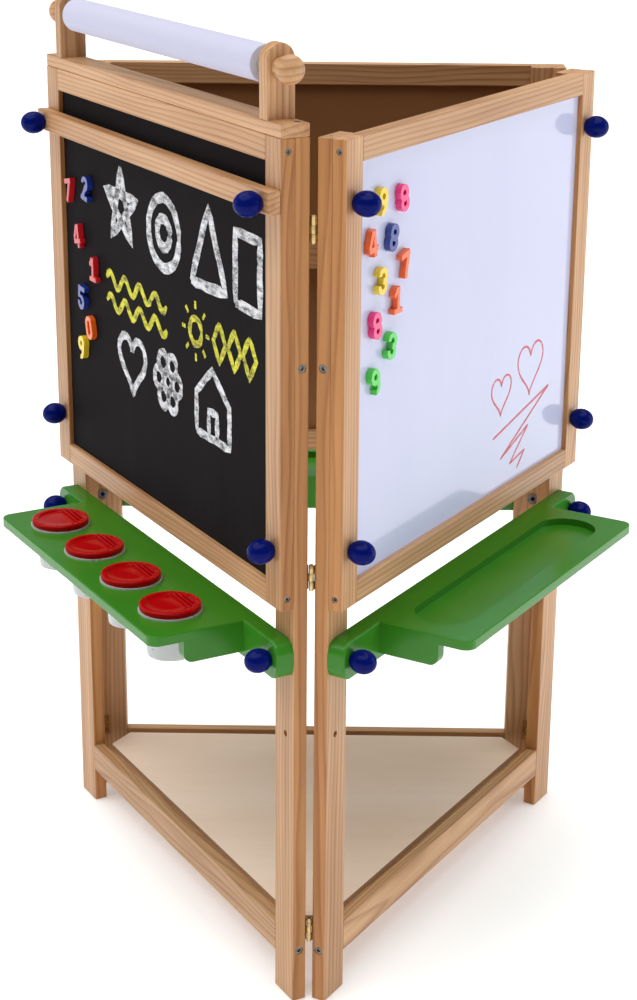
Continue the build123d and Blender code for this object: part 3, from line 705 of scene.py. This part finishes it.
def loose_parts(node):
    """The separate solids of a CAD node, as bmeshes, from the highest down."""
    whole = bmesh.new()
    whole.from_mesh(NODES[node].data)
    bmesh.ops.remove_doubles(whole, verts=whole.verts, dist=1e-6)
    whole.verts.ensure_lookup_table()
    left = set(whole.verts)
    groups = []
    while left:
        group, front = set(), [left.pop()]
        while front:
            vertex = front.pop()
            group.add(vertex)
            for edge in vertex.link_edges:
                other = edge.other_vert(vertex)
                if other in left:
                    left.discard(other)
                    front.append(other)
        groups.append(group)
    parts = []
    for group in groups:
        part = bmesh.new()
        copies = {vertex: part.verts.new(vertex.co) for vertex in sorted(group, key=lambda v: v.index)}
        for face in whole.faces:
            if face.verts[0] in group:
                part.faces.new([copies[vertex] for vertex in face.verts])
        height = sum((vertex.co.z for vertex in part.verts)) / len(part.verts)
        parts.append((height, part))
    whole.free()
    return [part for height, part in sorted(parts, key=lambda item: -item[0])]


def magnet_digits(node, panel_name, colours):
    for index, (part, colour) in enumerate(zip(loose_parts(node), colours), start=1):
        bmesh.ops.dissolve_limit(part, angle_limit=radians(1), verts=part.verts, edges=part.edges)

        def build(builder, source=part):
            mesh = bpy.data.meshes.new("digit_source")
            source.to_mesh(mesh)
            builder.from_mesh(mesh)
            bpy.data.meshes.remove(mesh)

        plastic = moulded(f"{panel_name}_magnet_{index}_{colour}", MAGNET_COLOURS[colour], 0.2, 400.0, 0.5)
        digit = add_mesh(f"{panel_name}_magnet_{index}", build, plastic, panel_name)
        part.free()
        bevel(digit, MAGNET_EASE)
        smooth_by_angle(digit, 40)
        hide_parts(node)


# ---- drawings on the boards ----

STROKE_LIFT = 0.25 * MM
STROKE_FOOT = 0.05 * MM
STROKE_WANDER = (0.8, 1.12)
STROKE_STEP = 0.9
BLUNT_END = 0.55
HEART_SCALE = 0.0595
HEART_STEPS = 40
CHALK_ROUGHNESS = 0.75
MARKER_ROUGHNESS = 0.35


def circle(middle, radius, steps=28):
    return [Vector((middle[0] + cos(radians(360.0 * k / steps)) * radius,
                    middle[1] + sin(radians(360.0 * k / steps)) * radius))
            for k in range(steps + 1)]


def heart(middle, size):
    """The sine and cosine heart, about twice as wide as size."""
    points = []
    for step in range(HEART_STEPS + 1):
        angle = tau * step / HEART_STEPS
        points.append(Vector((middle[0] + HEART_SCALE * size * 16 * sin(angle) ** 3,
                              middle[1] + HEART_SCALE * size * (13 * cos(angle) - 5 * cos(2 * angle)
                                                                - 2 * cos(3 * angle) - cos(4 * angle)))))
    return points


def star(middle, size):
    return [Vector((middle[0] + sin(tau * k * 2 / 5) * size, middle[1] + cos(tau * k * 2 / 5) * size))
            for k in range(6)]


def wave(start, end, height, crests=4, swell=0.009, steps=40):
    """A long water line from one u to another."""
    return [Vector((start + (end - start) * k / steps, height + sin(tau * crests * k / steps) * swell))
            for k in range(steps + 1)]


def sunshine(middle, radius, rays=8):
    """A round sun with short rays."""
    lines = [circle(middle, radius, steps=18)]
    for ray in range(rays):
        angle = tau * ray / rays
        way = Vector((cos(angle), sin(angle)))
        lines.append([Vector(middle) + way * radius * 1.7, Vector(middle) + way * radius * 2.3])
    return lines


def diamond(middle, half_width, half_height):
    u, z = middle
    return path((u, z + half_height), (u + half_width, z), (u, z - half_height), (u - half_width, z),
                (u, z + half_height))


def add_stroke(builder, panel, line, width, draw):
    """One flat stroke a little proud of the board, with wandering edges and blunt ends."""
    rows = []
    last = len(line) - 1
    for index, place in enumerate(line):
        ahead = line[min(index + 1, last)] - line[max(index - 1, 0)]
        ahead = ahead.normalized() if ahead.length else Vector((1, 0))
        side = Vector((-ahead.y, ahead.x))
        blunt = BLUNT_END if index in (0, last) else 1.0
        left = place + side * width / 2 * blunt * draw.uniform(*STROKE_WANDER)
        right = place - side * width / 2 * blunt * draw.uniform(*STROKE_WANDER)
        rows.append([panel.point(spot[0], BOARD_FACE + lift, spot[1])
                     for spot, lift in ((left, STROKE_FOOT), (left, STROKE_LIFT), (right, STROKE_LIFT),
                                        (right, STROKE_FOOT))])
    verts = [[builder.verts.new(spot) for spot in row] for row in rows]
    for first, second in zip(verts, verts[1:]):
        for corner in range(4):
            after = (corner + 1) % 4
            builder.faces.new((first[corner], first[after], second[after], second[corner]))
    builder.faces.new(verts[0][::-1])
    builder.faces.new(verts[-1])


def refined(line, spacing):
    """Extra points on long straight stretches, so that the stroke's edge can wander."""
    points = [line[0]]
    for first, second in zip(line, line[1:]):
        pieces = max(1, int((second - first).length / spacing))
        points += [first.lerp(second, k / pieces) for k in range(1, pieces + 1)]
    return points


def drawing(name, panel_name, lines, width, material):
    draw = random.Random(name)

    def build(builder):
        for line in lines:
            add_stroke(builder, PANELS[panel_name], refined(line, width * STROKE_STEP), width, draw)

    add_mesh(name, build, material, panel_name, smooth=False)


def path(*points):
    return [Vector(point) for point in points]


WHITE_CHALK = (0.86, 0.86, 0.88, 1)
YELLOW_CHALK = (0.80, 0.76, 0.03, 1)
CHALK_GROUND = (0.018, 0.017, 0.019, 1)
WHITE_CHALK_COVER = 0.56
YELLOW_CHALK_COVER = 0.57
UPPER_STROKE = 13.5 * MM
MIDDLE_STROKE = 9.5 * MM
LOWER_STROKE = 11 * MM
RED_MARKER = (0.62, 0.035, 0.045, 1)
# The marker's ground is the whiteboard's white with the same painted lilac cast of cool light.
COOL_CAST_MARKER_GROUND = (0.60, 0.62, 0.79, 1)
MARKER_COVER = 0.66
MARKER_STROKE = 3 * MM


def chalk_drawings():
    """Three rows of plain shapes in white, yellow and white chalk: distance from the corner, height."""
    white = drawn("white_chalk", WHITE_CHALK, CHALK_GROUND, WHITE_CHALK_COVER, CHALK_ROUGHNESS)
    yellow = drawn("yellow_chalk", YELLOW_CHALK, CHALK_GROUND, YELLOW_CHALK_COVER, CHALK_ROUGHNESS)
    top = PANEL_TOP
    first = [star((0.215, top - 0.150), 0.050),
             circle((0.340, top - 0.160), 0.043), circle((0.340, top - 0.160), 0.018),
             path((0.415, top - 0.202), (0.462, top - 0.108), (0.505, top - 0.200), (0.415, top - 0.202)),
             path((0.530, top - 0.205), (0.530, top - 0.122), (0.590, top - 0.122), (0.590, top - 0.205),
                  (0.530, top - 0.205))]
    second = [wave(0.165, 0.345, top - 0.250), wave(0.165, 0.345, top - 0.280),
              *sunshine((0.425, top - 0.262), 0.016),
              *[diamond((0.488 + 0.038 * k, top - 0.262), 0.016, 0.024) for k in range(3)]]
    flower = (0.345, top - 0.345)
    petals = []
    for k in range(6):
        angle = tau * k / 6
        petals.append(circle((flower[0] + cos(angle) * 0.026, flower[1] + sin(angle) * 0.026), 0.0125,
                             steps=14))
    third = [heart((0.240, top - 0.345), 0.042), circle(flower, 0.011, steps=14), *petals,
             path((0.425, top - 0.385), (0.425, top - 0.335), (0.468, top - 0.300), (0.512, top - 0.335),
                  (0.512, top - 0.385), (0.425, top - 0.385)),
             path((0.458, top - 0.383), (0.458, top - 0.352), (0.480, top - 0.352), (0.480, top - 0.383))]
    drawing("chalk_drawing_upper", "chalk", first, UPPER_STROKE, white)
    drawing("chalk_drawing_middle", "chalk", second, MIDDLE_STROKE, yellow)
    drawing("chalk_drawing_lower", "chalk", third, LOWER_STROKE, white)


def marker_drawing():
    """Two red hearts over a zigzag scribble in the lower right of the white board."""
    red = drawn("red_marker", RED_MARKER, COOL_CAST_MARKER_GROUND, MARKER_COVER, MARKER_ROUGHNESS)
    spot = PANEL_TOP - 0.395
    zigzag = [(0.395, spot - 0.045), (0.560, spot - 0.012), (0.420, spot - 0.078), (0.500, spot - 0.052),
              (0.448, spot - 0.092), (0.492, spot - 0.084), (0.470, spot - 0.104)]
    lines = [heart((0.415, spot + 0.012), 0.030), heart((0.500, spot + 0.030), 0.040), path(*zigzag)]
    drawing("marker_drawing", "white", lines, MARKER_STROKE, red)


# ---- floor, light and camera ----

FLOOR_SIZE = 60
FLOOR_DROP = 0.5 * MM
FLOOR_GLOW = 0.22
COOL = (0.86, 0.89, 1.0)
FRONT_AIR = 0.10
BACK_AIR = 0.38
FADE_STARTS = -0.8
FADE_ENDS = 0.3
SUN_POWER = 3.05
SUN_SPREAD = radians(75)
SUN_TURN = (radians(4), radians(-9), 0)
SOFTBOX_SIZE = (1.7, 2.2)
SOFTBOX_AIM = (0, 0, 0.6)
LEFT_SOFTBOX = ((-3.0, 0.1, 1.3), 12)
RIGHT_SOFTBOX = ((3.0, 0.1, 1.3), 27)
CAMERA_PLACE = (0.0316, -2.5704, 1.4292)
CAMERA_PITCH = 0.3373
CAMERA_YAW = -0.0108
CAMERA_ROLL = 0.0078
LENS = 75.0
SENSOR = 36.0


def floor():
    """Pale ground that glows a little, so that it runs into the white behind."""
    bpy.ops.mesh.primitive_plane_add(size=FLOOR_SIZE, location=(0, 0, -FLOOR_DROP))
    plane = bpy.context.object
    plane.name = "studio_floor"
    graph = Graph("studio_floor_paint", Roughness=0.9, Specular_IOR_Level=0.1)
    speckle = graph.noise(graph.place, 3.0, 2.0)
    graph.link(graph.mix(speckle, (0.92, 0.92, 0.92, 1), (0.95, 0.95, 0.95, 1)), "Base Color")
    graph.shader.inputs["Emission Color"].default_value = (1, 1, 1, 1)
    graph.shader.inputs["Emission Strength"].default_value = FLOOR_GLOW
    plane.data.materials.append(graph.material)


def softbox(name, place, power):
    """Cool rectangular light that faces the middle of the easel."""
    data = bpy.data.lights.new(name, "AREA")
    data.shape = "RECTANGLE"
    data.size, data.size_y = SOFTBOX_SIZE
    data.energy = power
    data.color = COOL
    light = bpy.data.objects.new(name, data)
    bpy.context.scene.collection.objects.link(light)
    light.location = place
    light.rotation_euler = (Vector(SOFTBOX_AIM) - Vector(place)).to_track_quat("-Z", "Y").to_euler()


def studio():
    """Soft light from above, a softbox on each side, and dimmer air towards the viewer."""
    world = bpy.data.worlds.new("studio_air")
    bpy.context.scene.world = world
    world.use_nodes = True
    background = world.node_tree.nodes["Background"]
    tree = world.node_tree
    split = tree.nodes.new("ShaderNodeSeparateXYZ")
    tree.links.new(tree.nodes.new("ShaderNodeTexCoord").outputs["Generated"], split.inputs[0])
    fade = tree.nodes.new("ShaderNodeMapRange")
    fade.inputs["From Min"].default_value = FADE_STARTS
    fade.inputs["From Max"].default_value = FADE_ENDS
    fade.inputs["To Min"].default_value = FRONT_AIR
    fade.inputs["To Max"].default_value = BACK_AIR
    tree.links.new(split.outputs["Y"], fade.inputs["Value"])
    seen = tree.nodes.new("ShaderNodeMath")
    seen.operation = "MAXIMUM"
    tree.links.new(fade.outputs[0], seen.inputs[0])
    tree.links.new(tree.nodes.new("ShaderNodeLightPath").outputs["Is Camera Ray"], seen.inputs[1])
    tree.links.new(seen.outputs[0], background.inputs["Strength"])
    background.inputs["Color"].default_value = (1, 1, 1, 1)
    sun = bpy.data.lights.new("soft_sun", "SUN")
    sun.energy = SUN_POWER
    sun.angle = SUN_SPREAD
    lamp = bpy.data.objects.new("soft_sun", sun)
    bpy.context.scene.collection.objects.link(lamp)
    lamp.rotation_euler = SUN_TURN
    softbox("left_softbox", *LEFT_SOFTBOX)
    softbox("right_softbox", *RIGHT_SOFTBOX)


def camera():
    """A standing adult's view of the front corner, from a little above the easel."""
    data = bpy.data.cameras.new("front_camera")
    data.lens = LENS
    data.sensor_width = SENSOR
    forward = Vector((sin(CAMERA_YAW) * cos(CAMERA_PITCH), cos(CAMERA_YAW) * cos(CAMERA_PITCH),
                      -sin(CAMERA_PITCH)))
    right = forward.cross(UP).normalized()
    above = right.cross(forward)
    turned = right * cos(CAMERA_ROLL) + above * sin(CAMERA_ROLL)
    upright = above * cos(CAMERA_ROLL) - right * sin(CAMERA_ROLL)
    eye = bpy.data.objects.new("front_camera", data)
    bpy.context.scene.collection.objects.link(eye)
    basis = Matrix((turned, upright, -forward)).transposed().to_4x4()
    eye.matrix_world = Matrix.Translation(CAMERA_PLACE) @ basis
    bpy.context.scene.camera = eye


camera()
studio()
floor()
dress_cad_nodes()
wound_roll()
lids()
magnet_digits("chalk_magnets", "chalk", CHALK_DIGITS)
magnet_digits("white_magnets", "white", WHITE_DIGITS)
chalk_drawings()
marker_drawing()
bpy.context.scene.view_settings.view_transform = "Standard"
